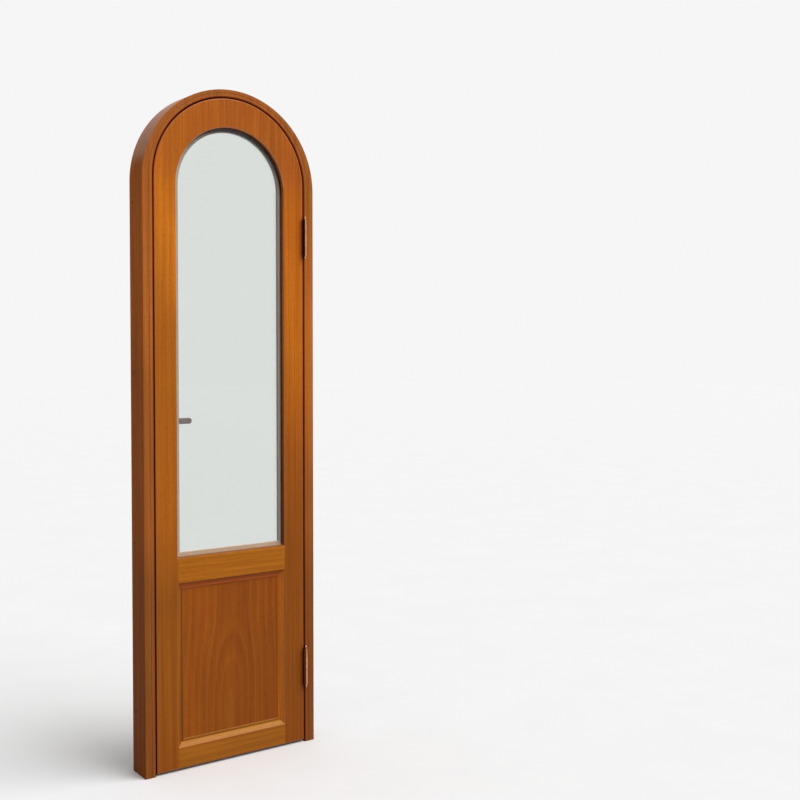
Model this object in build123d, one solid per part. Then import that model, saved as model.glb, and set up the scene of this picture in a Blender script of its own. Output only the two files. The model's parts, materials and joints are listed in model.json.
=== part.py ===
"""Arched wooden door leaf, half glazed, hung in its own wooden frame.

All lengths are millimetres. X runs to the right as seen from outside, Y runs inwards through
the doorway and Z runs up. Z = 0 is the underside of the frame, Y = 0 is the middle of its depth.
"""
import math
import os

from build123d import *

# leaf
leaf_w = 550.0           # width
leaf_h = 2200.0          # height to the crown of the half-round top
leaf_t = 45.0            # thickness
stile_w = 76.0           # stiles
crown_w = 95.0           # head piece at the crown
rail_low = 72.0          # bottom rail, up to the panel's opening
rail_mid_bottom = 610.0  # middle rail above the leaf's foot
rail_mid_top = 694.0
arris = 4.0              # rounding of the outside arrises
arris_in = 2.0           # rounding of the inside arrises
foot_bevel = 5.0         # bevel along the leaf's foot
tenon_l = 40.0           # tenons of the rails
tenon_t = 13.0
tenon_set = 16.0         # tenons behind the leaf's face
shoulder = 7.0           # wood between a tenon and the groove or rebate beside it
leaf_dowel_r = 6.0       # dowels between the stiles and the head
leaf_dowel_l = 40.0      # length on each side of the joint
leaf_dowel_x = (21.0, 47.0)  # places from the leaf's edge
leaf_dowel_set = 22.0    # dowels behind the leaf's face

# frame
side_gap = 4.0           # clearance round the leaf
foot_gap = 7.0           # clearance under the leaf
frame_face = 36.0        # face of the jambs beside the leaf
crown_face = 25.0        # face of the frame over the crown
frame_d = 100.0          # depth of the frame
stop_w = 13.0            # stop, inwards from the frame's face
seal_gap = 3.0           # space behind the leaf for the seal
quirk_in = 13.0          # fine groove on the frame's face, from its inner edge
quirk_w = 1.5
quirk_d = 1.0
threshold_h = 22.0
stub_l = 15.0            # stub tenons of the threshold
stub_side = 12.0         # their shoulders at the sides
stub_top = 5.0           # their shoulders above and below
dowel_r = 5.0            # dowels of the frame's joints
dowel_l = 30.0           # length on each side of the joint
dowel_x = 15.0           # dowels from the frame's inner edge
dowel_y = 25.0           # dowels from the middle of the frame's depth

# frame anchors
fixing_count = 4
fixing_low = 200.0       # lowest anchor above the frame's foot
fixing_top = 71.0        # highest anchor below the jamb's joint
fixing_y = 24.0
fixing_r = 5.25          # holes for the anchors
fixing_bore_r = 9.0      # counterbores over them
fixing_bore_d = 14.0
plug_set = 0.3           # wooden plugs below the stop's surface
plug_l = 5.7

# seal
seal_in = 5.5            # middle of the seal from the stop's edge
seal_low = 7.5           # seal's lower run above the leaf's foot
seal_lip_w = 6.0
seal_foot_w = 3.0
seal_foot_d = 5.0
seal_play = 0.3          # lip from the closed leaf

# glazing
lip_t = 15.0             # wood in front of the glass
cover = 12.0             # wood over the edge of the glass
pane_t = 4.0
cavity = 12.0
glass_play = 2.0         # space round the glass in its rebate
sealant_in = 2.0         # dark sealant seen inside the wood's edge
sealant_t = 2.5          # fillet of sealant between the wood and the glass
spacer_w = 12.0          # width of the metal spacer seen behind it
bead_w = 16.0            # glazing beads on the inside
bead_round = 4.0
block_l = 80.0           # setting blocks under the glass
block_x = 120.0          # their middles from the leaf's middle

# panel
panel_t = 20.0
panel_set = 13.0         # outside face of the panel behind the leaf's face
panel_arris = 2.0        # rounding of the stiles and rails beside the panel
groove = 10.0            # grooves that hold the panel
panel_play = 0.5         # panel from the bottom of its grooves
slope_w = 13.0           # moulding's slope, inwards from the stiles and rails
slope_foot = 1.5         # foot of the slope in front of the panel
slope_hollow = 0.6       # how far the slope is hollowed
sink_w = 2.0             # sunk line between the slope and the small round
round_w = 8.0            # small round along the moulding's inner edge
round_up = 2.4           # its crest in front of the panel
mould_foot = 0.8         # moulding's thickness in the sunk line and at its inner edge
mould_in_w = 16.0        # moulding on the inside
mould_in_set = 2.0       # inside moulding behind the leaf's inside face
mould_in_foot = 2.5      # thickness of its inner edge
mould_in_flat = 5.0      # flat along its outer edge

# screws
head_r = 4.4
head_h = 2.4
shank_r = 2.2
slot_w = 0.9
slot_d = 0.7

# hinges
hinge_l = 125.0
hinge_r = 7.5            # knuckle
hinge_pin_r = 3.5
hinge_play = 0.05
hinge_t = 3.0
hinge_leaf_w = 35.0
hinge_out = 8.0          # pin in front of the face
hinge_low = 261.0        # centre of the lower hinge above the leaf's foot
hinge_top = 445.0        # centre of the upper hinge below the leaf's crown
knuckles = 5
knuckle_play = 0.4       # space between the knuckles
hinge_screws = 4
hinge_screw_end = 12.5   # outer screws from the plate's ends
hinge_screw_y = (24.0, 12.0)  # outer and inner screws from the leaf's face
hinge_screw_l = 30.0
finial_r = 5.0           # ball tips of the pins
finial_set = 2.0         # ball above the knuckle
neck_r = 4.2
neck_l = 3.0

# lock
lever_z = 1133.0         # lever above the leaf's foot
backset = 32.0           # lever from the leaf's edge
lock_set = 23.0          # middle of the lock behind the leaf's face
case_w = 47.0
case_t = 14.0
case_wall = 1.5
case_up = 55.0           # case above and below the lever
case_down = 118.0
face_t = 3.0             # faceplate on the leaf's edge
face_w = 20.0
face_over = 15.0         # faceplate past the case's ends
face_screw_end = 7.0
face_screw_l = 22.0
way_play = 0.2           # bolts in their ways
latch_rise = 15.0        # latch above the lever
latch_h = 16.0
latch_t = 10.0
latch_out = 10.0         # latch past the leaf's edge
latch_in = 14.0
latch_nose = 2.0         # flat at the tip of the latch
latch_tail = 16.0        # tail of the latch in the case
tail_t = 4.0
tail_h = 8.0
turn_drop = 72.0         # thumb turn below the lever
bolt_drop = 90.0         # dead bolt below the lever
bolt_h = 18.0
bolt_l = 38.0
follower_r = 8.0
follower_flange = 1.5
cam_r = 6.5
hub_play = 0.05          # followers in the case's walls
spindle_w = 8.0
turn_spindle_w = 5.0

# lever, thumb turn and their plate
plate_w = 34.0
plate_up = 62.0          # plate above and below the lever
plate_down = 112.0
plate_t = 4.0
plate_corner = 8.0
plate_soft = 1.5
plate_screw_end = 12.0
plate_screw_l = 14.0
lever_l = 133.0
lever_boss_r = 9.0
lever_collar_r = 13.0
lever_collar_t = 4.7
lever_stand = 34.0       # grip in front of the leaf
grip_h = 20.0
grip_t = 12.0
grip_round = 4.0
grip_back = 11.0         # grip behind the lever's axis
turn_boss_r = 7.0
knob_w = 14.0
knob_h = 30.0
knob_t = 14.0
knob_stand = 14.0
knob_round = 3.0
part_play = 0.3          # turning parts from the surfaces beside them

# strike
strike_t = 2.5
strike_w = 22.0
strike_up = 50.0         # strike above and below the lever
strike_down = 124.0
strike_screw_end = 10.0
strike_screw_l = 24.0
pocket_play_y = 2.5
pocket_play_z = 3.0
latch_pocket = 16.0
bolt_pocket = 22.0

# derived positions
y_out = -frame_d / 2
y_in = frame_d / 2
y_leaf = y_out + leaf_t
y_stop = y_leaf + seal_gap
leaf_r = leaf_w / 2
z_foot = foot_gap
z_top = z_foot + leaf_h
z_spring = z_top - leaf_r
frame_in = leaf_r + side_gap
frame_out = frame_in + frame_face
stop_r = frame_in - stop_w
frame_top = z_top + side_gap + crown_face
z_frame = frame_top - frame_out
glass_r = leaf_r - stile_w
z_glass = z_top - crown_w - glass_r
z_sill = z_foot + rail_mid_top
panel_lo = z_foot + rail_low
panel_hi = z_foot + rail_mid_bottom
rebate_r = glass_r + cover
z_rebate = z_sill - cover
y_lip = y_out + lip_t
y_pane = y_lip + pane_t
y_cavity = y_pane + cavity
y_bead = y_cavity + pane_t
y_panel = y_out + panel_set
y_panel_in = y_panel + panel_t
hinge_x = leaf_r + side_gap / 2
hinge_y = y_out - hinge_out
edge_x = -leaf_r
lock_x = edge_x + backset
lock_y = y_out + lock_set
lock_z = z_foot + lever_z
latch_z = lock_z + latch_rise
turn_z = lock_z - turn_drop
bolt_z = lock_z - bolt_drop
far = 3000.0
eps = 1.0                # how far a cutting shape passes the face it cuts


def box(x0, x1, y0, y1, z0, z1):
    """Block between two corners, given in either order."""
    centre = Pos((x0 + x1) / 2, (y0 + y1) / 2, (z0 + z1) / 2)
    return centre * Box(abs(x1 - x0), abs(y1 - y0), abs(z1 - z0))


def arch(half, spring, base):
    """Flat outline in the X-Z plane: straight sides and a half-round top."""
    top = ThreePointArc((half, 0, spring), (0, 0, spring + half), (-half, 0, spring))
    sides = Polyline((-half, 0, spring), (-half, 0, base), (half, 0, base), (half, 0, spring))
    return make_face(top.edges() + sides.edges())


def slab(face, y0, y1):
    """Flat outline given a thickness from y0 to y1."""
    return Pos(0, y0, 0) * extrude(face, amount=y1 - y0, dir=(0, 1, 0))


def arch_slab(half, spring, base, y0, y1):
    return slab(arch(half, spring, base), y0, y1)


def arch_ring(half, hole, spring, base, hole_base, y0, y1):
    """Arched slab with an arched hole through it."""
    outer = arch_slab(half, spring, base, y0, y1)
    return outer - arch_slab(hole, spring, hole_base, y0 - eps, y1 + eps)


def rod_y(x, z, r, y0, y1):
    return Pos(x, (y0 + y1) / 2, z) * Rot(90, 0, 0) * Cylinder(r, abs(y1 - y0))


def rod_z(x, y, r, z0, z1):
    return Pos(x, y, (z0 + z1) / 2) * Cylinder(r, abs(z1 - z0))


def rod_x(y, z, r, x0, x1):
    return Pos((x0 + x1) / 2, y, z) * Rot(0, 90, 0) * Cylinder(r, abs(x1 - x0))


def square_bar(x, z, width, y0, y1):
    return box(x - width / 2, x + width / 2, y0, y1, z - width / 2, z + width / 2)


def pill(x0, x1, z0, z1, corner, y0, y1):
    """Flat plate in the X-Z plane with rounded corners."""
    centre = Pos((x0 + x1) / 2, y0, (z0 + z1) / 2)
    outline = Rot(-90, 0, 0) * RectangleRounded(x1 - x0, z1 - z0, corner)
    return centre * extrude(outline, amount=y1 - y0, dir=(0, 1, 0))


def on_arch(shape, y, half, spring):
    """Edges of a shape that run along an arched line at depth y."""
    found = []
    for edge in shape.edges():
        ends = [edge @ 0.02, edge @ 0.5, edge @ 0.98]
        near = all(
            abs(p.Y - y) < 0.01
            and abs((abs(p.X) if p.Z <= spring else math.hypot(p.X, p.Z - spring)) - half) < 0.01
            for p in ends
        )
        if near:
            found.append(edge)
    return found


def level_edges(shape, y, z):
    """Edges of a shape that run along X at depth y and height z."""
    found = []
    for edge in shape.edges():
        a, b = edge @ 0, edge @ 1
        if max(abs(a.Y - y), abs(b.Y - y), abs(a.Z - z), abs(b.Z - z)) < 0.01:
            found.append(edge)
    return found


def soften(shape, y, r):
    """Rounds the rim of a flat piece at depth y."""
    rim = [e for e in shape.edges() if all(abs((e @ t).Y - y) < 0.01 for t in (0, 0.5, 1))]
    return fillet(rim, r)


def screw(x, y, z, turn, length):
    """Countersunk screw that runs along +Z before the turn: uncut, and with its slot."""
    head = Pos(0, 0, head_h / 2) * Cone(head_r, shank_r, head_h)
    shank = Pos(0, 0, (head_h + length) / 2) * Cylinder(shank_r, length - head_h)
    place = Pos(x, y, z) * turn
    whole = place * (head + shank)
    slot = place * (Pos(0, 0, slot_d / 2) * Box(2 * head_r - 1.2, slot_w, slot_d))
    return whole, whole - slot


to_right = Rot(0, 90, 0)
to_left = Rot(0, -90, 0)
outwards = Rot(90, 0, 0)
parts = {}


def keep(name, *shapes):
    """Files a piece under its name; several loose solids stay one group."""
    solids = []
    for shape in shapes:
        solids += shape.solids()
    parts[name] = solids[0] if len(solids) == 1 else Compound(children=solids)


# the frame as one block, rounded, to be sawn into jambs and head pieces at the end
frame = arch_slab(frame_out, z_frame, 0, y_out, y_in)
frame -= arch_slab(frame_in, z_spring, -eps, y_out - eps, y_stop)
frame -= arch_slab(stop_r, z_spring, -eps, y_stop - eps, y_in + eps)
frame = fillet(on_arch(frame, y_out, frame_in, z_spring), arris)
frame = fillet(on_arch(frame, y_stop, stop_r, z_spring), arris_in)
frame = fillet(on_arch(frame, y_in, stop_r, z_spring), arris)
quirk_r = frame_in + quirk_in
frame -= arch_ring(quirk_r + quirk_w, quirk_r, z_spring, -eps, -2 * eps, y_out - eps, y_out + quirk_d)

# soft seal: its foot sits in a groove of the stop, its lip nearly meets the leaf
seal_r = stop_r + seal_in
seal_z = z_foot + seal_low


def seal_run(width, y0, y1):
    half = width / 2
    return arch_ring(seal_r + half, seal_r - half, z_spring, seal_z - half, seal_z + half, y0, y1)


seal_foot = seal_run(seal_foot_w, y_stop, y_stop + seal_foot_d)
seal_lip = seal_run(seal_lip_w, y_leaf + seal_play, y_stop)
frame -= seal_foot
keep("weather_seal", seal_lip + seal_foot)

# threshold bar behind the leaf's foot, with stub tenons in the jambs
threshold = box(-stop_r, stop_r, y_stop, y_in, 0, threshold_h)
threshold = fillet(level_edges(threshold, y_stop, threshold_h), arris_in)
threshold = fillet(level_edges(threshold, y_in, threshold_h), arris_in)
for side in (-1, 1):
    stub = box(side * stop_r, side * (stop_r + stub_l), y_stop + stub_side, y_in - stub_side,
               stub_top, threshold_h - stub_top)
    threshold += stub
    frame -= stub
keep("threshold", threshold - seal_foot)

# frame anchors: counterbored holes through the jambs, closed with wooden plugs
fixing_step = (z_frame - fixing_top - fixing_low) / (fixing_count - 1)
plugs = []
for side in (-1, 1):
    for step in range(fixing_count):
        z = fixing_low + step * fixing_step
        start = side * (stop_r - eps)
        plug_x = stop_r + plug_set
        frame -= rod_x(fixing_y, z, fixing_r, start, side * (frame_out + eps))
        frame -= rod_x(fixing_y, z, fixing_bore_r, start, side * (stop_r + fixing_bore_d))
        plugs.append(rod_x(fixing_y, z, fixing_bore_r, side * plug_x, side * (plug_x + plug_l)))
keep("fixing_plugs", *plugs)

# dowels of the frame's joints: two up each jamb, two across the crown
frame_dowels = []
crown_z = (z_spring + frame_in + frame_top) / 2
for y in (-dowel_y, dowel_y):
    frame_dowels.append(rod_x(y, crown_z, dowel_r, -dowel_l, dowel_l))
    for side in (-1, 1):
        x = side * (frame_in + dowel_x)
        frame_dowels.append(rod_z(x, y, dowel_r, z_frame - dowel_l, z_frame + dowel_l))
for dowel in frame_dowels:
    frame -= dowel
keep("frame_dowels", *frame_dowels)

# the leaf as one block, rounded, then sawn into its members
leaf = arch_slab(leaf_r, z_spring, z_foot, y_out, y_leaf)
leaf -= arch_slab(glass_r, z_glass, z_sill, y_out - eps, y_leaf + eps)
leaf -= box(-glass_r, glass_r, y_out - eps, y_leaf + eps, panel_lo, panel_hi)
leaf = chamfer(level_edges(leaf, y_out, z_foot), foot_bevel)
leaf = fillet(on_arch(leaf, y_out, leaf_r, z_spring), arris)
leaf = fillet(on_arch(leaf, y_leaf, leaf_r, z_spring), arris_in)
opening = [e for e in on_arch(leaf, y_out, glass_r, z_glass) if (e @ 0.5).Z > z_sill]
leaf = fillet(opening + level_edges(leaf, y_out, z_sill), arris)
opening = [e for e in on_arch(leaf, y_out, glass_r, z_glass) if (e @ 0.5).Z < z_sill]
opening += level_edges(leaf, y_out, panel_lo) + level_edges(leaf, y_out, panel_hi)
leaf = fillet(opening, panel_arris)
leaf -= arch_slab(rebate_r, z_glass, z_rebate, y_lip, y_leaf + eps)
leaf -= box(-glass_r - groove, glass_r + groove, y_panel, y_panel_in,
            panel_lo - groove, panel_hi + groove)

lock_stile = leaf & box(-far, -glass_r, -far, far, -far, z_spring)
hinge_stile = leaf & box(glass_r, far, -far, far, -far, z_spring)
leaf_head = leaf & box(-far, far, -far, far, z_spring, far)
mid_rail = leaf & box(-glass_r, glass_r, -far, far, panel_hi - eps, z_sill + eps)
bottom_rail = leaf & box(-glass_r, glass_r, -far, far, -far, panel_lo + eps)

# tenons of the rails, in mortises of the stiles
for side in (-1, 1):
    x0 = side * glass_r
    x1 = side * (glass_r + tenon_l)
    y0 = y_out + tenon_set
    y1 = y0 + tenon_t
    tenon_mid = box(x0, x1, y0, y1, panel_hi + groove + shoulder, z_rebate - shoulder)
    tenon_low = box(x0, x1, y0, y1, z_foot + 2 * shoulder, panel_lo - groove - shoulder)
    mid_rail += tenon_mid
    bottom_rail += tenon_low
    lock_stile -= tenon_mid + tenon_low
    hinge_stile -= tenon_mid + tenon_low

leaf_dowels = []
for side in (-1, 1):
    for inset in leaf_dowel_x:
        leaf_dowels.append(rod_z(side * (leaf_r - inset), y_out + leaf_dowel_set, leaf_dowel_r,
                                 z_spring - leaf_dowel_l, z_spring + leaf_dowel_l))
for dowel in leaf_dowels:
    lock_stile -= dowel
    hinge_stile -= dowel
    leaf_head -= dowel
keep("leaf_dowels", *leaf_dowels)

# lower panel, loose in its grooves
panel_edge = groove - panel_play
keep("lower_panel", box(-glass_r - panel_edge, glass_r + panel_edge, y_panel, y_panel_in,
                        panel_lo - panel_edge, panel_hi + panel_edge))

# panel mouldings: one section, extruded along each side and mitred
mould_w = slope_w + sink_w + round_w
panel_z = (panel_lo + panel_hi) / 2
panel_half = (panel_hi - panel_lo) / 2


def outside_section():
    """Hollowed slope, sunk line and small round; x runs inwards from the wood, y is the depth."""
    y_edge = y_out + panel_arris
    y_slope = y_panel - slope_foot
    y_floor = y_panel - mould_foot
    x_round = slope_w + sink_w
    slope = ThreePointArc((0, y_edge, 0), (slope_w / 2, (y_edge + y_slope) / 2 + slope_hollow, 0),
                          (slope_w, y_slope, 0))
    sink = Polyline((slope_w, y_slope, 0), (slope_w, y_floor, 0), (x_round, y_floor, 0))
    small_round = ThreePointArc((x_round, y_floor, 0), (x_round + round_w / 2, y_panel - round_up, 0),
                                (mould_w, y_floor, 0))
    back = Polyline((mould_w, y_floor, 0), (mould_w, y_panel, 0), (0, y_panel, 0), (0, y_edge, 0))
    return make_face(slope.edges() + sink.edges() + small_round.edges() + back.edges())


def inside_section():
    """Plain bevelled moulding on the inside."""
    y1 = y_leaf - mould_in_set
    line = Polyline((0, y_panel_in, 0), (mould_in_w, y_panel_in, 0),
                    (mould_in_w, y_panel_in + mould_in_foot, 0), (mould_in_flat, y1, 0), (0, y1, 0),
                    (0, y_panel_in, 0))
    return make_face(line.edges())


def mitred(section, half_length):
    """Section extruded both ways along one side of the panel and cut to 45 degree mitres."""
    bar = extrude(section, amount=half_length, both=True)
    x0 = -eps
    x1 = 2 * mould_w
    wedge = Polyline((x0, 0, x0 - half_length), (x0, 0, half_length - x0),
                     (x1, 0, half_length - x1), (x1, 0, x1 - half_length),
                     (x0, 0, x0 - half_length))
    return bar & slab(make_face(wedge.edges()), y_out - frame_d, y_in)


mould_sides = {
    "left": (Pos(-glass_r, 0, panel_z) * Rot(0, 0, 0), panel_half),
    "right": (Pos(glass_r, 0, panel_z) * Rot(0, 180, 0), panel_half),
    "bottom": (Pos(0, 0, panel_lo) * Rot(0, -90, 0), glass_r),
    "top": (Pos(0, 0, panel_hi) * Rot(0, 90, 0), glass_r),
}
for name, (place, half_length) in mould_sides.items():
    keep("outer_moulding_" + name, place * mitred(outside_section(), half_length))
    keep("inner_moulding_" + name, place * mitred(inside_section(), half_length))

# double glazing unit on its setting blocks
pane_r = rebate_r - glass_play
pane_lo = z_rebate + glass_play
spacer_r = glass_r - sealant_in
spacer_lo = z_sill + sealant_in
keep("outer_pane", arch_slab(pane_r, z_glass, pane_lo, y_lip, y_pane))
keep("inner_pane", arch_slab(pane_r, z_glass, pane_lo, y_cavity, y_bead))
keep("glass_edge_seal", arch_ring(pane_r, spacer_r, z_glass, pane_lo, spacer_lo, y_pane, y_cavity))
keep("glass_spacer", arch_ring(spacer_r, spacer_r - spacer_w, z_glass, spacer_lo,
                               spacer_lo + spacer_w, y_pane, y_cavity))
keep("setting_blocks", *[box(x - block_l / 2, x + block_l / 2, y_lip, y_bead, z_rebate, pane_lo)
                         for x in (-block_x, block_x)])
keep("glazing_sealant", arch_ring(glass_r, glass_r - sealant_t, z_glass, z_sill,
                                  z_sill + sealant_t, y_lip - sealant_t, y_lip))

# glazing beads on the inside
bead_r = rebate_r - bead_w
bead_z = z_rebate + bead_w
bead_arch = arch_slab(rebate_r, z_glass, z_glass - eps, y_bead, y_leaf)
bead_arch -= arch_slab(bead_r, z_glass, z_glass - 2 * eps, y_bead - eps, y_leaf + eps)
bead_arch = bead_arch & box(-far, far, -far, far, z_glass, far)
bead_arch = fillet(on_arch(bead_arch, y_leaf, bead_r, z_glass), bead_round)
keep("glazing_bead_arch", bead_arch)
bead_bottom = box(-rebate_r, rebate_r, y_bead, y_leaf, z_rebate, bead_z)
keep("glazing_bead_bottom", fillet(level_edges(bead_bottom, y_leaf, bead_z), bead_round))
for name, side in (("left", -1), ("right", 1)):
    bead = box(side * bead_r, side * rebate_r, y_bead, y_leaf, bead_z, z_glass)
    keep("glazing_bead_" + name, fillet(on_arch(bead, y_leaf, bead_r, z_glass), bead_round))


def hinge(name, centre):
    """Butt hinge; the knuckles at its ends belong to the frame's plate."""
    global frame, hinge_stile
    low = centre - hinge_l / 2
    high = centre + hinge_l / 2
    step = hinge_l / knuckles
    play = knuckle_play / 2
    tail = y_out + hinge_leaf_w
    frame_plate = box(frame_in, frame_in + hinge_t, y_out, tail, low, high)
    leaf_plate = box(leaf_r - hinge_t, leaf_r, y_out, tail, low, high)
    frame -= frame_plate
    hinge_stile -= leaf_plate
    for i in range(knuckles):
        z0 = low + i * step + (play if i else 0)
        z1 = low + (i + 1) * step - (play if i < knuckles - 1 else 0)
        knuckle = rod_z(hinge_x, hinge_y, hinge_r, z0, z1)
        if i % 2:
            leaf_plate += knuckle + box(leaf_r - hinge_t, leaf_r, hinge_y, y_out, z0, z1)
        else:
            frame_plate += knuckle + box(frame_in, frame_in + hinge_t, hinge_y, y_out, z0, z1)
    frame_plate -= rod_z(hinge_x, hinge_y, hinge_pin_r, low - eps, high + eps)
    leaf_plate -= rod_z(hinge_x, hinge_y, hinge_pin_r + hinge_play, low - eps, high + eps)
    frame_screws = []
    leaf_screws = []
    for i in range(hinge_screws):
        inner = 0 < i < hinge_screws - 1
        y = y_out + hinge_screw_y[inner]
        z = low + hinge_screw_end + i * (hinge_l - 2 * hinge_screw_end) / (hinge_screws - 1)
        whole, cut = screw(frame_in, y, z, to_right, hinge_screw_l)
        frame_plate -= whole
        frame -= whole
        frame_screws.append(cut)
        whole, cut = screw(leaf_r, y, z, to_left, hinge_screw_l)
        leaf_plate -= whole
        hinge_stile -= whole
        leaf_screws.append(cut)
    pin = rod_z(hinge_x, hinge_y, hinge_pin_r, low, high)
    for z, way in ((low, -1), (high, 1)):
        pin += rod_z(hinge_x, hinge_y, neck_r, z, z + way * neck_l)
        pin += Pos(hinge_x, hinge_y, z + way * (finial_set + finial_r)) * Sphere(finial_r)
    keep(name + "_hinge_frame_plate", frame_plate)
    keep(name + "_hinge_leaf_plate", leaf_plate)
    keep(name + "_hinge_pin", pin)
    keep(name + "_hinge_frame_screws", *frame_screws)
    keep(name + "_hinge_leaf_screws", *leaf_screws)


hinge("lower", z_foot + hinge_low)
hinge("upper", z_top - hinge_top)

# mortise lock in the lock stile
plate_in = edge_x + face_t
case_end = plate_in + case_w
case_y0 = lock_y - case_t / 2
case_y1 = lock_y + case_t / 2
case_lo = lock_z - case_down
case_hi = lock_z + case_up
face_lo = case_lo - face_over
face_hi = case_hi + face_over
faceplate = box(edge_x, plate_in, lock_y - face_w / 2, lock_y + face_w / 2, face_lo, face_hi)
case = box(plate_in, case_end, case_y0, case_y1, case_lo, case_hi)
lock_stile -= faceplate
lock_stile -= case
lock_stile -= rod_y(lock_x, lock_z, follower_r + 2, case_y1 - eps, y_leaf + eps)
lock_stile -= rod_y(lock_x, turn_z, cam_r + 1.5, case_y1 - eps, y_leaf + eps)
case -= box(plate_in + case_wall, case_end - case_wall, case_y0 + case_wall, case_y1 - case_wall,
            case_lo + case_wall, case_hi - case_wall)
for z, height in ((latch_z, latch_h), (bolt_z, bolt_h)):
    half_y = latch_t / 2 + way_play
    half_z = height / 2 + way_play
    way = box(edge_x - eps, plate_in + 2 * case_wall, lock_y - half_y, lock_y + half_y,
              z - half_z, z + half_z)
    case -= way
    faceplate -= way
case -= rod_y(lock_x, lock_z, follower_r + hub_play, case_y0 - eps, case_y1 + eps)
case -= rod_y(lock_x, turn_z, cam_r + hub_play, case_y0 - eps, case_y1 + eps)
keep("lock_case", case)
face_screws = []
for z in (face_lo + face_screw_end, face_hi - face_screw_end):
    whole, cut = screw(edge_x, lock_y, z, to_right, face_screw_l)
    faceplate -= whole
    lock_stile -= whole
    face_screws.append(cut)
keep("lock_faceplate", faceplate)
keep("lock_faceplate_screws", *face_screws)

# latch with its slanted nose and its tail, and the dead bolt drawn back into the leaf
latch = box(edge_x - latch_out, edge_x + latch_in, lock_y - latch_t / 2, lock_y + latch_t / 2,
            latch_z - latch_h / 2, latch_z + latch_h / 2)
nose_x = edge_x - latch_out
nose_y = lock_y - latch_t / 2 + latch_nose
nose = Polyline((nose_x - eps, nose_y, 0), (nose_x - eps, lock_y + latch_t, 0),
                (edge_x, lock_y + latch_t, 0), (edge_x, lock_y + latch_t / 2, 0),
                (nose_x, nose_y, 0), (nose_x - eps, nose_y, 0))
latch -= Pos(0, 0, latch_z - latch_h) * extrude(make_face(nose.edges()), amount=2 * latch_h,
                                                dir=(0, 0, 1))
latch += box(edge_x + latch_in, edge_x + latch_in + latch_tail, lock_y - tail_t / 2,
             lock_y + tail_t / 2, latch_z - tail_h / 2, latch_z + tail_h / 2)
keep("latch_bolt", latch)
keep("deadbolt", box(edge_x, edge_x + bolt_l, lock_y - latch_t / 2, lock_y + latch_t / 2,
                     bolt_z - bolt_h / 2, bolt_z + bolt_h / 2))

# spindles and the followers that they turn
lever_spindle = square_bar(lock_x, lock_z, spindle_w, case_y0 + 2, y_leaf + lever_stand)
follower = rod_y(lock_x, lock_z, follower_r, case_y0 + 0.2, case_y1 - 0.1)
follower += rod_y(lock_x, lock_z, follower_r + follower_flange, case_y0 + 2 * case_wall,
                  case_y1 - 2 * case_wall)
keep("latch_follower", follower - square_bar(lock_x, lock_z, spindle_w, -far, far))
keep("lever_spindle", lever_spindle)
turn_spindle = square_bar(lock_x, turn_z, turn_spindle_w, case_y0 + 2, y_leaf + knob_stand + 8)
cam = rod_y(lock_x, turn_z, cam_r, case_y0 + 0.2, case_y1 - 0.1)
keep("deadbolt_cam", cam - square_bar(lock_x, turn_z, turn_spindle_w, -far, far))
keep("thumbturn_spindle", turn_spindle)

# inside plate, lever and thumb turn
plate_lo = lock_z - plate_down
plate_hi = lock_z + plate_up
y_plate = y_leaf + plate_t
handle_plate = pill(lock_x - plate_w / 2, lock_x + plate_w / 2, plate_lo, plate_hi, plate_corner,
                    y_leaf, y_plate)
handle_plate = soften(handle_plate, y_plate, plate_soft)
handle_plate -= rod_y(lock_x, lock_z, lever_boss_r + hub_play, y_leaf - eps, y_plate + eps)
handle_plate -= rod_y(lock_x, turn_z, turn_boss_r + hub_play, y_leaf - eps, y_plate + eps)
plate_screws = []
for z in (plate_lo + plate_screw_end, plate_hi - plate_screw_end):
    whole, cut = screw(lock_x, y_plate, z, outwards, plate_screw_l)
    handle_plate -= whole
    lock_stile -= whole
    plate_screws.append(cut)
keep("handle_plate", handle_plate)
keep("handle_plate_screws", *plate_screws)

y_collar = y_plate + part_play
y_grip = y_leaf + lever_stand
grip = pill(lock_x - grip_back, lock_x + lever_l, lock_z - grip_h / 2, lock_z + grip_h / 2,
            grip_h / 2 - 0.1, y_grip, y_grip + grip_t)
grip = soften(grip, y_grip, grip_round)
grip = soften(grip, y_grip + grip_t, grip_round)
lever = rod_y(lock_x, lock_z, lever_boss_r, y_leaf + part_play, y_grip + grip_t / 2)
lever += rod_y(lock_x, lock_z, lever_collar_r, y_collar, y_collar + lever_collar_t)
keep("lever_handle", lever + grip - lever_spindle)

y_knob = y_leaf + knob_stand
knob = pill(lock_x - knob_w / 2, lock_x + knob_w / 2, turn_z - knob_h / 2, turn_z + knob_h / 2,
            knob_w / 2 - 0.5, y_knob, y_knob + knob_t)
knob = soften(knob, y_knob + knob_t, knob_round)
turn = rod_y(lock_x, turn_z, turn_boss_r, y_leaf + part_play, y_knob + eps) + knob
keep("thumbturn", turn - turn_spindle)

# strike plate and pockets in the lock jamb
strike_x = -frame_in
strike_lo = lock_z - strike_down
strike_hi = lock_z + strike_up
strike = box(strike_x - strike_t, strike_x, lock_y - strike_w / 2, lock_y + strike_w / 2,
             strike_lo, strike_hi)
frame -= strike
for z, height, depth in ((latch_z, latch_h, latch_pocket), (bolt_z, bolt_h, bolt_pocket)):
    half_y = latch_t / 2 + pocket_play_y
    half_z = height / 2 + pocket_play_z
    pocket = box(strike_x - depth, strike_x + eps, lock_y - half_y, lock_y + half_y,
                 z - half_z, z + half_z)
    strike -= pocket
    frame -= pocket
strike_screws = []
for z in (strike_lo + strike_screw_end, strike_hi - strike_screw_end):
    whole, cut = screw(strike_x, lock_y, z, to_left, strike_screw_l)
    strike -= whole
    frame -= whole
    strike_screws.append(cut)
keep("strike_plate", strike)
keep("strike_screws", *strike_screws)

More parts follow.
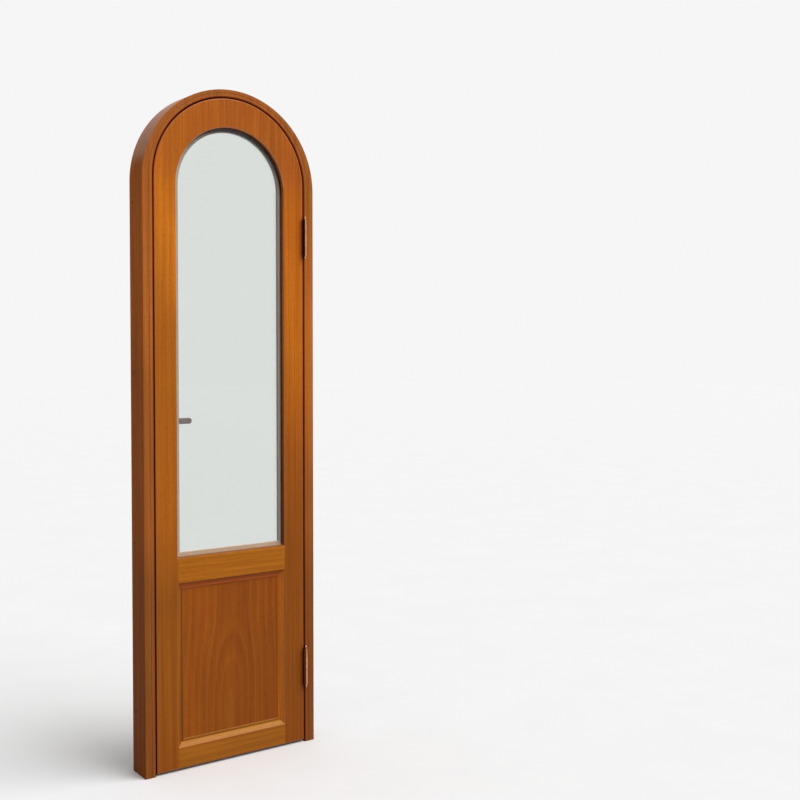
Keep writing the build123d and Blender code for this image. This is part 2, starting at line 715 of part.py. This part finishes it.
# the frame block sawn into its members
keep("jamb_hinge_side", frame & box(0, far, -far, far, -far, z_frame))
keep("jamb_lock_side", frame & box(-far, 0, -far, far, -far, z_frame))
keep("frame_head_right", frame & box(0, far, -far, far, z_frame, far))
keep("frame_head_left", frame & box(-far, 0, -far, far, z_frame, far))

# the leaf's members with all their cuts
keep("lock_stile", lock_stile)
keep("hinge_stile", hinge_stile)
keep("leaf_head", leaf_head)
keep("mid_rail", mid_rail)
keep("bottom_rail", bottom_rail)

os.makedirs("parts", exist_ok=True)
for name, shape in parts.items():
    export_step(shape, "parts/" + name + ".step")
print(len(parts), "parts")
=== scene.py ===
"""Looks of the arched wooden door: camera, floor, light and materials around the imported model."""

import json
import math

import bpy
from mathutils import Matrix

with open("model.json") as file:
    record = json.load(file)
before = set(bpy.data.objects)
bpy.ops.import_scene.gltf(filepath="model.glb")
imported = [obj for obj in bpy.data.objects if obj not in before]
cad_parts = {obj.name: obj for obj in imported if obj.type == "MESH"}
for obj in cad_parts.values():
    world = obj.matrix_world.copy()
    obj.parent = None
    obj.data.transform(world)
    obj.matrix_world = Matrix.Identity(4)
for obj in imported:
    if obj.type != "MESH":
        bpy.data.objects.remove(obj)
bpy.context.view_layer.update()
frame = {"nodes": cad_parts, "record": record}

# camera, fitted to the photo
eye_place = (-1.763, -3.426, 1.399)
eye_yaw = 36.02          # degrees to the right of straight on
eye_dip = 1.67           # degrees down
eye_lens = 50.86
eye_sensor = 36.0
eye_shift = -0.03

# light
background = 0.92        # what camera, mirror and glass rays see of the world
sky = 0.50               # how strongly the world lights the object
sun_from = (0.50, -0.64, 1.00)
sun_strength = 2.6
sun_size = 50.0          # degrees across, for soft shadows
floor_size = 60.0
floor_pale = (0.78, 0.82)
floor_bounce = 0.38      # how pale the floor is to the light that it throws back
flag_x = -4.5            # the dark board left of the camera, that only mirror rays see
flag_near = -24
flag_far = 9
flag_top = 7

# places on the model that the looks follow
y_face = -0.050          # outside face of leaf and frame
z_spring = 1.932         # start of the half-round top
z_top = 2.3              # no height is above this
z_sill = 0.701           # wood under the glass
leaf_r = 0.275
gap_r = 0.2833           # the gap's sides, darkened with painted shade, end this far from the middle
gap_depth = (0.015, 0.045)          # they fade between these depths behind the face
frame_r = 0.315
glass_arris_r = (0.22, 0.24)        # the head's inner arris lies inside the first
opening_r = 0.199        # half of the glass's and the lower panel's opening
panel_low = 0.079
panel_top = 0.617
round_start = 0.0145     # the moulding's small round starts this far inside the opening
slope_end = 0.010
blend = 0.0005           # half of the width of a sharp change of colour

# painted light and shade: how bright the wood is at each height, darker towards the foot, lighter
# up the door and darker again under the head: (height, brightness)
lock_light_and_tone = ((0.10, 0.69), (0.56, 0.64), (0.72, 0.84), (0.86, 0.96), (1.45, 1.02), (1.60, 1.36),
             (1.75, 1.54), (1.87, 1.45), (2.00, 1.20), (2.16, 1.10))
hinge_light_and_tone = ((0.10, 0.60), (0.58, 0.63), (0.83, 0.72), (1.05, 0.80), (1.22, 1.03), (1.36, 1.24),
              (1.75, 1.27), (1.87, 1.22), (2.00, 1.00), (2.16, 0.90))
moulding_light_and_tone = ((0.10, 0.80), (0.65, 0.85))

# colours and tints of the wood; the edge colours are paler partly from wear and partly as painted
# highlight, the frame tint is partly painted sheen, the gap and round tints are painted shade, and
# the outer tint is painted to offset sheen
wood_light = (0.530, 0.162, 0.0080, 1)
wood_mid = (0.410, 0.117, 0.0045, 1)
wood_dark = (0.250, 0.063, 0.0022, 1)
wood_red = (0.420, 0.080, 0.0045, 1)
wood_line = (0.560, 0.230, 0.0300, 1)
wood_pore = (0.085, 0.020, 0.0015, 1)
edge_wear_and_highlight = (0.600, 0.250, 0.1250, 1)
glass_edge_highlight = (0.900, 0.480, 0.3200, 1)
frame_tint_and_sheen = (0.96, 1.00, 3.2, 1)
gap_shade_tint = (0.70, 0.32, 0.16, 1)
sill_arris_tint = (0.55, 0.50, 0.55, 1)
round_shade_tint = (0.78, 0.72, 0.65, 1)
outer_sheen_offset_tint = (0.92, 0.78, 0.40, 1)

# noises of the wood: how often they change per metre across the board, into it and along it
waver_grain = (7, 7, 1.1)
ripple_grain = (45, 45, 4)
streak_grain = (95, 95, 1.3)
hair_grain = (520, 520, 9)
pore_grain = (1900, 1900, 55)
patch_grain = (5.5, 5.5, 1.9)
cloud_grain = (11, 11, 3.1)
waver_width = 0.030      # how far a year ring strays from its circle
ripple_width = 0.0035
ring_depth = 0.34        # how much rings and hairs darken the wood
hair_depth = 0.24
tree_step = (0.37, 0.21, 1.7)       # from one tree's wood to the next one's in the noises
shared_trees = 3         # trees up to this number are named below, the others have one board each

# what a board has unless it says otherwise
straight = {
    "grain": "Z",            # direction of the grain
    "tree": None,            # number of the tree that the board comes from
    "heart": (0.10, 0.16),   # where the heart of the tree lies, across the grain and in depth
    "lean": (0.004, 0.006),  # how far the heart leans along the board
    "bend": None,            # between which places along the board it bends away, and how far
    "ring": 0.0055,          # width of a year ring
    "show": 0.75,            # how strongly the rings show
    "streak": 0.42,          # how strongly the streaks show
    "pale": 0,               # how strongly a pale line starts each ring
    "rub_and_highlight": 0.90,             # how far the arrises are paled, by wear and painted highlight
    "arris": None,           # colour of the arris round the glass, paler as painted highlight, where it has one of its own
    "tint": (1, 1, 1, 1),
    "right": None,           # between which places the right side shades into another tint
    "sill_mark": False,          # whether the arris under the glass is darkened
    "round": False,          # whether the moulding's small round is darkened with painted shade
    "slope": None,           # painted shade and light: brightness at the start and the end of the moulding's slope
}
# the tones and tints below also carry painted light and shade: boards and mouldings that face up or
# to the light are lighter, those that face down or away darker
boards = {
    "lock_stile": {"tree": 1, "tone": lock_light_and_tone},
    "hinge_stile": {"tree": 1, "tone": hinge_light_and_tone, "tint": (1, 0.93, 0.72, 1)},
    # painted highlight on the arris round the glass, and painted shade over the head's right side
    "leaf_head": {"tree": 1, "tone": lock_light_and_tone, "arris": glass_edge_highlight, "tint": (1, 0.92, 1.15, 1),
                  "right": (-0.22, 0.25, (0.86, 0.80, 0.86, 1))},
    # the rails' brighter, bluer tints are painted sheen
    "mid_rail": {"grain": "X", "tone": ((0.60, 0.92), (0.70, 0.98)), "heart": (0.62, 0.05),
                 "ring": 0.007, "rub_and_highlight": 0.50, "tint": (1, 1.11, 1.12, 1), "sill_mark": True},
    "bottom_rail": {"grain": "X", "tone": ((0.0, 0.80), (0.08, 0.86)), "heart": (-0.02, 0.04),
                    "tint": (0.97, 1.12, 1.50, 1)},
    "lower_panel": {"tone": ((0.08, 0.66), (0.35, 0.68), (0.62, 0.74)), "heart": (0.0, -0.025),
                    "lean": (0.01, 0), "bend": (0.20, 0.50, 0.055), "ring": 0.026, "show": 0.62,
                    "streak": 0.20, "pale": 0.38, "tint": (0.98, 0.84, 0.62, 1),
                    "right": (-0.05, 0.03, (0.89, 0.80, 0.72, 1))},
    # the bottom moulding's slope faces up: its bright tone and tint are painted highlight
    "outer_moulding_bottom": {"grain": "X", "tone": ((0.10, 0.95), (0.65, 0.95)), "rub_and_highlight": 0.12,
                              "tint": (1, 1.32, 1.35, 1), "round": True},
    # the top moulding's slope faces down: its dark tint and its slope brightness are painted shade
    "outer_moulding_top": {"grain": "X", "tone": moulding_light_and_tone, "rub_and_highlight": 0.12,
                           "tint": (0.95, 0.70, 0.30, 1), "round": True, "slope": (0.72, 1.20)},
    # the right moulding is lighter and the left one darker and barely paled: painted light and
    # shade
    "outer_moulding_right": {"tone": ((0.10, 1.13), (0.65, 1.16)), "rub_and_highlight": 0.12, "round": True},
    "outer_moulding_left": {"tone": ((0.10, 0.62), (0.65, 0.66)), "rub_and_highlight": 0.04},
    # the jambs' and heads' tones differ from side to side: painted light and shade
    "jamb_hinge_side": {"tree": 2, "tone": ((0.20, 0.54), (0.56, 0.63), (0.76, 0.80), (0.96, 0.87),
                                            (1.21, 1.19), (1.41, 1.28), (1.60, 1.14),
                                            (1.93, 0.84))},
    "jamb_lock_side": {"tree": 2, "tone": ((0.20, 0.62), (0.60, 0.66), (0.80, 0.85), (1.30, 0.88),
                                           (1.50, 1.10), (1.93, 1.00))},
    "frame_head_left": {"tree": 2, "tone": ((1.93, 1.00), (2.20, 0.95))},
    "frame_head_right": {"tree": 2, "tone": ((1.93, 0.84), (2.20, 0.95))},
    "threshold": {"grain": "X", "tone": ((0.0, 0.6), (0.1, 0.6))},
}


class Shader:
    """The nodes of a material or world being made; its methods add nodes and return sockets."""

    def __init__(self, owner):
        self.owner = owner
        self.owner.use_nodes = True
        self.tree = self.owner.node_tree
        self.tree.nodes.clear()

    def node(self, kind, inputs=None, **settings):
        made = self.tree.nodes.new("ShaderNode" + kind)
        for key, value in settings.items():
            setattr(made, key, value)
        for key, value in (inputs or {}).items():
            self.feed(made.inputs[key], value)
        return made

    def feed(self, socket, value):
        if isinstance(value, bpy.types.NodeSocket):
            self.tree.links.new(value, socket)
        else:
            socket.default_value = value

    def math(self, operation, *values, clamp=False):
        made = self.node("Math", operation=operation, use_clamp=clamp)
        for i, value in enumerate(values):
            self.feed(made.inputs[i], value)
        return made.outputs[0]

    def vector(self, operation, *values):
        made = self.node("VectorMath", operation=operation)
        for i, value in enumerate(values):
            self.feed(made.inputs[i], value)
        return made.outputs["Value" if operation == "LENGTH" else "Vector"]

    def join(self, x, y, z):
        return self.node("CombineXYZ", {"X": x, "Y": y, "Z": z}).outputs[0]

    def split(self, vector):
        made = self.node("SeparateXYZ", {"Vector": vector})
        return made.outputs[0], made.outputs[1], made.outputs[2]

    def place(self):
        return self.node("TexCoord").outputs["Object"]

    def normal(self):
        return self.node("TexCoord").outputs["Normal"]

    def facing(self):
        """How squarely a surface faces out or in: 1 on the flat faces, 0 on their sides."""
        return self.math("ABSOLUTE", self.split(self.normal())[1])

    def noise(self, vector, stretch=(1, 1, 1), detail=2.0, roughness=0.5):
        stretched = self.vector("MULTIPLY", vector, stretch)
        made = self.node("TexNoise", {"Vector": stretched, "Scale": 1.0, "Detail": detail,
                                      "Roughness": roughness})
        return made.outputs["Fac"]

    def smooth(self, value, low, high):
        made = self.node("MapRange", {"Value": value, "From Min": low, "From Max": high},
                         interpolation_type="SMOOTHSTEP")
        return made.outputs["Result"]

    def map(self, value, low, high, to_low, to_high):
        made = self.node("MapRange", {"Value": value, "From Min": low, "From Max": high,
                                      "To Min": to_low, "To Max": to_high})
        return made.outputs["Result"]

    def mix(self, share, a, b, blend_type="MIX"):
        made = self.node("Mix", data_type="RGBA", blend_type=blend_type)
        self.feed(made.inputs["Factor"], share)
        self.feed(made.inputs[6], a)
        self.feed(made.inputs[7], b)
        return made.outputs[2]

    def tinted(self, colour, tint, share=1.0):
        """Colour that is multiplied by the tint where the share is 1."""
        return self.mix(share, colour, tint, "MULTIPLY")

    def dimmed(self, colour, level):
        """Colour multiplied by a number."""
        return self.tinted(colour, self.join(level, level, level))

    def profile(self, value, stops, reach):
        """Number that follows stops of (value, number), numbers up to 2, values up to the reach."""
        share = self.math("DIVIDE", value, reach)
        half = self.ramp(share, *[(at / reach, grey(number / 2)) for at, number in stops])
        return self.math("MULTIPLY", half, 2)

    def ramp(self, value, *stops):
        made = self.node("ValToRGB", {"Fac": value})
        points = made.color_ramp.elements
        while len(points) < len(stops):
            points.new(0.5)
        for point, (position, colour) in zip(points, stops):
            point.position = position
            point.color = colour
        return made.outputs["Color"]

    def bump(self, height, depth, strength=1.0):
        made = self.node("Bump", {"Height": height, "Distance": depth, "Strength": strength})
        return made.outputs["Normal"]

    def principled(self, **inputs):
        named = {key.replace("_", " "): value for key, value in inputs.items()}
        return self.node("BsdfPrincipled", named).outputs["BSDF"]

    def surface(self, shader):
        self.node("OutputMaterial", {"Surface": shader})
        return self.owner


def material(name):
    return Shader(bpy.data.materials.new(name))


def grey(value):
    return (value, value, value, 1)


def year_rings(s, facts, across, y, along, fibre):
    """Place in the year ring, from 0 at its start to 1, and a number that each ring has."""
    waver = s.noise(fibre, waver_grain, detail=1)
    ripple = s.noise(fibre, ripple_grain, detail=2)
    lean_u = s.math("MULTIPLY", along, facts["lean"][0])
    lean_v = s.math("MULTIPLY", along, facts["lean"][1])
    if facts["bend"]:
        start, end, rise = facts["bend"]
        lean_v = s.math("MULTIPLY_ADD", s.smooth(along, start, end), rise, lean_v)
    from_u = s.math("SUBTRACT", s.math("SUBTRACT", across, facts["heart"][0]), lean_u)
    from_v = s.math("SUBTRACT", s.math("SUBTRACT", y, facts["heart"][1]), lean_v)
    reach = s.vector("LENGTH", s.join(from_u, from_v, 0))
    reach = s.math("MULTIPLY_ADD", waver, waver_width, reach)
    reach = s.math("MULTIPLY_ADD", ripple, ripple_width, reach)
    rings = s.math("DIVIDE", reach, facts["ring"])
    which = s.node("TexWhiteNoise", {"W": s.math("FLOOR", rings)}, noise_dimensions="1D")
    return s.math("FRACT", rings), which.outputs["Value"]


def inside_opening(s, x, z):
    """How far a place lies inside the lower panel's opening."""
    middle = (panel_low + panel_top) / 2
    off_middle = s.math("ABSOLUTE", s.math("SUBTRACT", z, middle))
    inside_x = s.math("SUBTRACT", opening_r, s.math("ABSOLUTE", x))
    return s.math("MINIMUM", inside_x, s.math("SUBTRACT", panel_top - middle, off_middle))


def wood(name, board, framed, number):
    """Varnished wood: year rings round a heart, fibres, pores, patches, arrises paled by wear and
    painted highlight, and painted light and shade by height, in the gap and on the mouldings.
    """
    facts = {**straight, **board}
    tree = facts["tree"] or number + shared_trees
    s = material(name)
    x, y, z = s.split(s.place())
    along, across = (z, x) if facts["grain"] == "Z" else (x, z)
    fibre = s.vector("ADD", s.join(across, y, along), tuple(step * tree for step in tree_step))

    # late wood darkens the end of each year ring, and fibres lie over the rings
    turn, which = year_rings(s, facts, across, y, along, fibre)
    late = s.math("MULTIPLY", s.smooth(turn, 0.15, 0.90), s.smooth(turn, 1.0, 0.90))
    late = s.math("MULTIPLY", late, s.map(which, 0, 1, 0.35, 1))
    streak = s.noise(fibre, streak_grain, detail=3, roughness=0.6)
    hair = s.noise(fibre, hair_grain, detail=3, roughness=0.65)
    pore = s.smooth(s.noise(fibre, pore_grain, detail=1), 0.60, 0.70)
    depth = s.math("MULTIPLY", late, ring_depth * facts["show"])
    depth = s.math("MULTIPLY_ADD", s.smooth(streak, 0.28, 0.74), facts["streak"], depth)
    depth = s.math("MULTIPLY_ADD", s.smooth(hair, 0.25, 0.75), hair_depth, depth)
    colour = s.ramp(depth, (0.05, wood_light), (0.45, wood_mid), (1.0, wood_dark))
    if facts["pale"]:
        line = s.math("MULTIPLY", s.smooth(turn, 0.0, 0.12), s.smooth(turn, 0.36, 0.12))
        line = s.math("MULTIPLY", line, s.map(which, 0, 1, 1.1, 0.4))
        colour = s.mix(s.math("MULTIPLY", line, facts["pale"]), colour, wood_line)

    # broad patches, redder and brighter here and there
    patch = s.noise(fibre, patch_grain, detail=2)
    colour = s.mix(s.map(patch, 0.3, 0.75, 0, 0.34), colour, wood_red)
    cloud = s.map(s.noise(fibre, cloud_grain, detail=2), 0.25, 0.75, 0.90, 1.10)

    # painted light and shade by height, along the tone stops: darker towards the foot, lighter up
    # the door and darker again under the head
    height = s.math("ADD", z, s.math("MULTIPLY_ADD", patch, 0.20, -0.10))
    level = s.math("MULTIPLY", cloud, s.profile(height, facts["tone"], z_top))
    colour = s.dimmed(colour, level)

    # painted shade darkens the sides of the gap round the leaf
    above = s.math("MAXIMUM", s.math("SUBTRACT", z, z_spring), 0)
    squares = s.math("ADD", s.math("MULTIPLY", x, x), s.math("MULTIPLY", above, above))
    radius = s.math("SQRT", squares)
    gap = s.math("MULTIPLY", s.smooth(radius, gap_r, gap_r - 0.0014),
                 s.smooth(radius, leaf_r - 0.001, leaf_r))
    gap = s.math("MULTIPLY", gap, s.smooth(y, y_face + gap_depth[1], y_face + gap_depth[0]))
    colour = s.tinted(colour, gap_shade_tint, gap)
    # painted sheen: the frame's wood is tinted bluer
    if framed:
        colour = s.tinted(colour, frame_tint_and_sheen)
    colour = s.tinted(colour, facts["tint"])
    if facts["right"]:
        start, end, tint = facts["right"]
        colour = s.tinted(colour, tint, s.smooth(x, start, end))

    # the arris under the glass is darkened, and painted shade darkens the moulding's small round
    unpaled = gap
    if facts["sill_mark"]:
        lip = s.smooth(z, z_sill - 0.0045, z_sill - 0.0010)
        colour = s.tinted(colour, sill_arris_tint, lip)
        unpaled = s.math("MAXIMUM", gap, lip)
    if facts["round"]:
        inside = inside_opening(s, x, z)
        dull = s.smooth(inside, round_start - blend, round_start + blend)
        colour = s.tinted(colour, round_shade_tint, dull)
        # painted shade near the rail and painted light further in along the top moulding's slope
        if facts["slope"]:
            colour = s.dimmed(colour, s.map(inside, 0.0, slope_end, *facts["slope"]))

    # the frame's outer side, which nobody sees once it is built in, is poorly varnished and
    # rougher; its colour is painted darker and less blue to offset the sky's sheen there
    outer = s.smooth(radius, frame_r - 0.003, frame_r - 0.001)
    colour = s.tinted(colour, outer_sheen_offset_tint, outer)

    # rounded arrises are paler, partly from wear and partly as painted highlight; pores are filled
    # darker
    facing = s.facing()
    edge_paling = s.math("MULTIPLY", s.math("MULTIPLY", facing, s.math("SUBTRACT", 1, facing)), 4,
                    clamp=True)
    edge_paling = s.math("MULTIPLY", edge_paling, s.math("SUBTRACT", 1, unpaled))
    worn_and_lit = s.map(hair, 0.3, 0.7, 0.4 * facts["rub_and_highlight"], facts["rub_and_highlight"])
    edge = edge_wear_and_highlight
    if facts["arris"]:
        round_glass = s.smooth(radius, glass_arris_r[1], glass_arris_r[0])
        edge = s.mix(round_glass, edge_wear_and_highlight, facts["arris"])
    colour = s.mix(s.math("MULTIPLY", edge_paling, worn_and_lit), colour, edge)
    colour = s.mix(s.math("MULTIPLY", pore, 0.55), colour, wood_pore)

    rough = s.math("MULTIPLY_ADD", hair, 0.12, 0.30)
    rough = s.math("MULTIPLY_ADD", pore, 0.15, rough)
    rough = s.math("MULTIPLY_ADD", outer, 0.40, rough)
    relief = s.math("SUBTRACT", s.math("MULTIPLY", hair, 0.5), pore)
    return s.surface(s.principled(Base_Color=colour, Roughness=rough, Specular_IOR_Level=0.14,
                                  Normal=s.bump(relief, 0.00012, 0.6)))


def plain_wood():
    """Bare wood of the dowels."""
    s = material("bare_wood")
    grain = s.noise(s.place(), (260, 260, 12), detail=3)
    colour = s.ramp(grain, (0.3, (0.62, 0.44, 0.26, 1)), (0.7, (0.46, 0.29, 0.15, 1)))
    return s.surface(s.principled(Base_Color=colour, Roughness=s.map(grain, 0, 1, 0.6, 0.8),
                                  Normal=s.bump(grain, 0.0001, 0.5)))


def glass():
    """Float glass with a faint grey-green body, hardly visible waves and a trace of dust."""
    s = material("float_glass")
    here = s.place()
    wave = s.noise(here, (5, 5, 2.5), detail=1)
    dust = s.smooth(s.noise(here, (60, 60, 24), detail=4, roughness=0.7), 0.55, 0.85)
    tint = s.mix(s.noise(here, (1.5, 1.5, 1.5)), (0.85, 0.875, 0.86, 1), (0.875, 0.895, 0.88, 1))
    pane = s.principled(Base_Color=tint, Roughness=s.math("MULTIPLY", dust, 0.03), IOR=1.5,
                        Transmission_Weight=1.0, Normal=s.bump(wave, 0.0006, 0.3))
    clear = s.node("BsdfTransparent", {"Color": (0.94, 0.945, 0.94, 1)}).outputs[0]
    lamp_ray = s.node("LightPath").outputs["Is Shadow Ray"]
    return s.surface(s.node("MixShader", {0: lamp_ray, 1: pane, 2: clear}).outputs[0])


def spacer():
    """Spacer between the panes: pale lacquered face, sides darkened as painted shade, and along the
    sill pale dust with painted light from above.
    """
    s = material("spacer_metal")
    here = s.place()
    brushed = s.noise(here, (900, 900, 30), detail=2)
    dull = s.noise(here, (14, 14, 14), detail=3)
    at_side = s.smooth(s.facing(), 0.7, 0.3)
    face = s.mix(dull, (0.82, 0.66, 0.54, 1), (0.92, 0.77, 0.65, 1))
    # painted shade: the sides are dark brown
    side = s.mix(dull, (0.110, 0.036, 0.015, 1), (0.170, 0.065, 0.030, 1))
    # pale dust with painted light from above along the sill
    sill_dust_and_light = s.mix(dull, (0.93, 0.70, 0.52, 1), (0.98, 0.77, 0.60, 1))
    sill_dust_and_light_side = (0.62, 0.46, 0.34, 1)
    low = s.smooth(s.split(here)[2], z_sill + 0.019, z_sill + 0.013)
    colour = s.mix(low, s.mix(at_side, face, side), s.mix(at_side, sill_dust_and_light, sill_dust_and_light_side))
    rough = s.map(brushed, 0.3, 0.7, 0.36, 0.5)
    return s.surface(s.principled(Base_Color=colour, Metallic=0.1, Roughness=rough,
                                  Normal=s.bump(brushed, 0.00005, 0.4)))


def rubber(name, dark, pale, gloss, dust=0.0):
    """Seals and sealants: nearly even, with a slightly chalky skin; on the sill, pale dust with
    painted light from above.
    """
    s = material(name)
    here = s.place()
    chalk = s.noise(here, (120, 120, 40), detail=4, roughness=0.65)
    colour = s.mix(s.smooth(chalk, 0.35, 0.75), dark, pale)
    # paler on the sill: pale dust with painted light from above
    low = s.smooth(s.split(here)[2], z_sill + 0.006, z_sill + 0.003)
    sill_mark = s.mix(chalk, (0.40, 0.23, 0.11, 1), (0.54, 0.34, 0.18, 1))
    colour = s.mix(s.math("MULTIPLY", low, dust), colour, sill_mark)
    rough = s.map(chalk, 0.2, 0.8, gloss, gloss + 0.2)
    return s.surface(s.principled(Base_Color=colour, Roughness=rough,
                                  Normal=s.bump(chalk, 0.0001, 0.4)))


def bronze(name, dark, plain, pale, leaf_side_shade=None):
    """Bronzed brass, brighter from wear here and there, and darkened on the side to the leaf as
    painted shade.
    """
    s = material(name)
    here = s.place()
    patina = s.noise(here, (70, 70, 70), detail=5, roughness=0.6)
    scuff = s.noise(here, (700, 700, 90), detail=2)
    colour = s.ramp(patina, (0.30, dark), (0.50, plain), (0.75, pale))
    # painted shade: the side to the leaf is darker
    if leaf_side_shade:
        colour = s.mix(s.smooth(s.split(s.normal())[0], 0.0, -0.35), colour, leaf_side_shade)
    rough = s.math("MULTIPLY_ADD", scuff, 0.12, s.map(patina, 0.3, 0.7, 0.20, 0.12))
    return s.surface(s.principled(Base_Color=colour, Metallic=1.0, Roughness=rough,
                                  Normal=s.bump(scuff, 0.00004, 0.5)))


def steel():
    """Zinc plated steel with faint spangle and drawing lines."""
    s = material("zinc_steel")
    here = s.place()
    spangle = s.node("TexVoronoi", {"Vector": here, "Scale": 260.0}).outputs["Distance"]
    drawn = s.noise(here, (1200, 1200, 40), detail=2)
    colour = s.mix(s.smooth(spangle, 0.1, 0.8), (0.56, 0.56, 0.55, 1), (0.70, 0.70, 0.69, 1))
    rough = s.math("MULTIPLY_ADD", drawn, 0.2, 0.22)
    return s.surface(s.principled(Base_Color=colour, Metallic=1.0, Roughness=rough,
                                  Normal=s.bump(drawn, 0.00003, 0.5)))


def block_plastic():
    """Black plastic of the setting blocks."""
    s = material("block_plastic")
    grain = s.noise(s.place(), (800, 800, 800), detail=2)
    colour = s.mix(grain, grey(0.05), grey(0.09))
    return s.surface(s.principled(Base_Color=colour, Roughness=0.5,
                                  Normal=s.bump(grain, 0.00005, 0.5)))


def dress():
    """Gives every node the material of its slot, and every board its own piece of wood."""
    shared = {
        "wood_dowel": plain_wood(),
        "glass": glass(),
        "spacer": spacer(),
        "sealant": rubber("dark_sealant", (0.150, 0.034, 0.008, 1), (0.230, 0.065, 0.018, 1),
                          0.4, 0.9),
        "seal": rubber("brown_seal", (0.045, 0.022, 0.012, 1), (0.085, 0.045, 0.026, 1), 0.45),
        "bronze": bronze("dark_bronze", (0.085, 0.040, 0.026, 1), (0.150, 0.075, 0.048, 1),
                         (0.270, 0.145, 0.090, 1)),
        # the hinges get a paler copy of the bronze, standing in for their bright highlight, with a
        # darker side to the leaf: painted highlight and painted shade
        "hinge": bronze("lit_hinge_bronze", (0.400, 0.170, 0.090, 1), (0.600, 0.300, 0.175, 1),
                        (0.740, 0.420, 0.260, 1), (0.110, 0.022, 0.006, 1)),
        "steel": steel(),
        "block": block_plastic(),
    }
    slot_of = {part["node"]: part["material_slot"] for part in frame["record"]["subparts"]}
    for number, (name, node) in enumerate(sorted(frame["nodes"].items())):
        # hinges take the paler copy of the bronze: painted highlight
        slot = "hinge" if name.startswith(("upper_hinge", "lower_hinge")) else slot_of[name]
        look = shared.get(slot)
        if look is None:
            lying = name.endswith(("_top", "_bottom"))
            tone = lock_light_and_tone if name.startswith("glazing") else moulding_light_and_tone
            plain = {"grain": "X" if lying else "Z", "tone": tone, "rub_and_highlight": 0.12}
            look = wood(name, boards.get(name, plain), slot == "wood_frame", number)
        node.data.materials.clear()
        node.data.materials.append(look)


def sheet(name, corners):
    """Flat four-cornered object of the set, without a material."""
    mesh = bpy.data.meshes.new(name)
    mesh.from_pydata(corners, [], [(0, 1, 2, 3)])
    made = bpy.data.objects.new(name, mesh)
    bpy.context.scene.collection.objects.link(made)
    return made


def floor():
    """Plain pale floor, darker to the light that it throws back at the object."""
    half = floor_size / 2
    made = sheet("floor", [(-half, -half, 0), (half, -half, 0), (half, half, 0), (-half, half, 0)])
    s = material("pale_floor")
    mottle = s.noise(s.place(), (3, 3, 3), detail=3)
    colour = s.mix(mottle, grey(floor_pale[0]), grey(floor_pale[1]))
    thrown = s.node("LightPath").outputs["Is Diffuse Ray"]
    colour = s.mix(thrown, colour, grey(floor_bounce))
    made.data.materials.append(s.surface(s.principled(Base_Color=colour, Roughness=0.8,
                                                      Specular_IOR_Level=0.2)))


def flag():
    """Dark board left of the camera that only mirror rays see."""
    made = sheet("flag", [(flag_x, flag_near, 0), (flag_x, flag_far, 0),
                          (flag_x, flag_far, flag_top), (flag_x, flag_near, flag_top)])
    made.visible_camera = False
    made.visible_diffuse = False
    made.visible_transmission = False
    made.visible_shadow = False
    s = material("dark_board")
    mottle = s.noise(s.place(), (2, 2, 2), detail=3)
    colour = s.mix(mottle, (0.030, 0.015, 0.010, 1), (0.050, 0.026, 0.016, 1))
    made.data.materials.append(s.surface(s.principled(Base_Color=colour, Roughness=0.9)))


def light():
    """A pale world that lights evenly, and one wide soft lamp from the right front and above."""
    world = bpy.data.worlds.new("world")
    bpy.context.scene.world = world
    s = Shader(world)
    rays = s.node("LightPath").outputs
    seen = s.math("MAXIMUM", rays["Is Camera Ray"], rays["Is Glossy Ray"])
    seen = s.math("MAXIMUM", seen, rays["Is Transmission Ray"])
    lit = s.node("Background", {"Strength": sky, "Color": grey(1)}).outputs[0]
    pale = s.node("Background", {"Strength": background, "Color": grey(1)}).outputs[0]
    both = s.node("MixShader", {0: seen, 1: lit, 2: pale}).outputs[0]
    s.node("OutputWorld", {"Surface": both})

    lamp = bpy.data.lights.new("sun", "SUN")
    lamp.energy = sun_strength
    lamp.angle = math.radians(sun_size)
    made = bpy.data.objects.new("sun", lamp)
    bpy.context.scene.collection.objects.link(made)
    x, y, z = sun_from
    made.rotation_euler = (math.atan2(math.hypot(x, y), z), 0, math.atan2(y, x) + math.pi / 2)


def camera():
    data = bpy.data.cameras.new("camera")
    data.lens = eye_lens
    data.sensor_width = eye_sensor
    data.shift_y = eye_shift
    eye = bpy.data.objects.new("camera", data)
    eye.location = eye_place
    eye.rotation_euler = (math.radians(90 - eye_dip), 0, math.radians(-eye_yaw))
    bpy.context.scene.collection.objects.link(eye)
    bpy.context.scene.camera = eye


camera()
floor()
flag()
light()
dress()
bpy.context.scene.view_settings.view_transform = "Standard"
